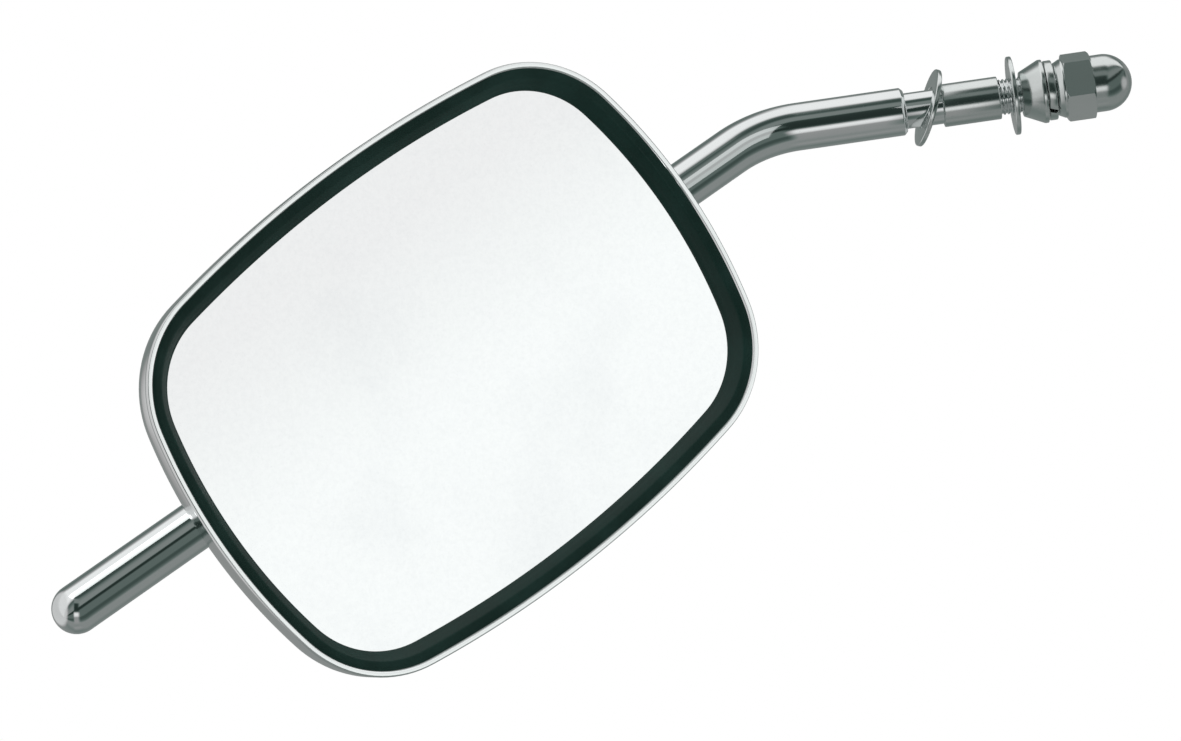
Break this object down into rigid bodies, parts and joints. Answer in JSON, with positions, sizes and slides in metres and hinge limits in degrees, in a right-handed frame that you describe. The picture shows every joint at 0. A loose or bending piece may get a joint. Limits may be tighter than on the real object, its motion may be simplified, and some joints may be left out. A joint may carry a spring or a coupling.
{
  "type": "motorcycle mirror",
  "caption": "Rounded rectangular chrome rear-view mirror with a rubber bezel, on a ball swivel and clamp that slide along a bent chrome stem with a stud, washers and an acorn nut.",
  "frame": {"origin": "middle of the spacer sleeve on the stud's axis, where the control lever's bracket sits", "axes": "+Z along the stud towards the stem, away from the nut; the stem bends in the XZ plane towards +X; the glass faces between +X and +Y"},
  "size_m": [0.1742, 0.0925, 0.2949],
  "materials": {
    "chrome_stem": "polished chrome plate on a steel rod",
    "chrome_hardware": "chrome plate with fine tool marks",
    "chrome_block": "polished chrome plate on a turned block",
    "chrome_housing": "polished chrome plate on a deep-drawn shell",
    "zinc_steel": "zinc-plated steel",
    "spring_steel": "blued spring steel",
    "black_steel": "blackened alloy steel",
    "brass": "turned brass",
    "nylon": "natural nylon",
    "pad_rubber": "foamed rubber sheet",
    "black_rubber": "smooth moulded black rubber with a soft sheen",
    "mirror_glass": "silvered convex glass"
  },
  "bodies": {
    "stem": {"stem": "chrome_stem", "leaning_washer": "chrome_hardware", "spacer_sleeve": "chrome_hardware", "flat_washer": "chrome_hardware", "cone_washer": "chrome_hardware", "lock_washer": "chrome_hardware", "acorn_nut": "chrome_hardware"},
    "bush": {"stem_bush": "nylon"},
    "clamp": {"clamp_block": "chrome_block", "ball_stud": "zinc_steel", "clamp_pad": "brass", "set_screw": "black_steel"},
    "front_liner": {"front_ball_liner": "nylon"},
    "rear_liner": {"rear_ball_liner": "nylon"},
    "head": {"housing": "chrome_housing", "socket_plate": "zinc_steel", "pressure_cup": "zinc_steel", "disc_spring": "spring_steel", "bridge_plate": "zinc_steel", "bridge_posts": "zinc_steel", "post_screws": "zinc_steel", "backing_pad": "pad_rubber", "mirror_glass": "mirror_glass", "rubber_bezel": "black_rubber"}
  },
  "joints": [
    {"name": "clamp_slide", "type": "slide", "parent": "stem", "child": "bush", "axis": [0.5736, 0, 0.8192], "range_m": [-0.04, 0.04]},
    {"name": "clamp_swing", "type": "hinge", "parent": "bush", "child": "clamp", "pos_m": [0.07227, 0, 0.15971], "axis": [0.5736, 0, 0.8192], "continuous": true},
    {"name": "head_tilt", "type": "hinge", "parent": "clamp", "child": "front_liner", "pos_m": [0.08617, 0.01697, 0.14998], "axis": [-0.5792, 0.7071, 0.4056], "range_deg": [-12, 12]},
    {"name": "head_roll", "type": "hinge", "parent": "front_liner", "child": "rear_liner", "pos_m": [0.08617, 0.01697, 0.14998], "axis": [0.5736, 0, 0.8192], "range_deg": [-12, 12]},
    {"name": "head_spin", "type": "hinge", "parent": "rear_liner", "child": "head", "pos_m": [0.08617, 0.01697, 0.14998], "axis": [0.5792, 0.7071, -0.4056], "continuous": true}
  ]
}
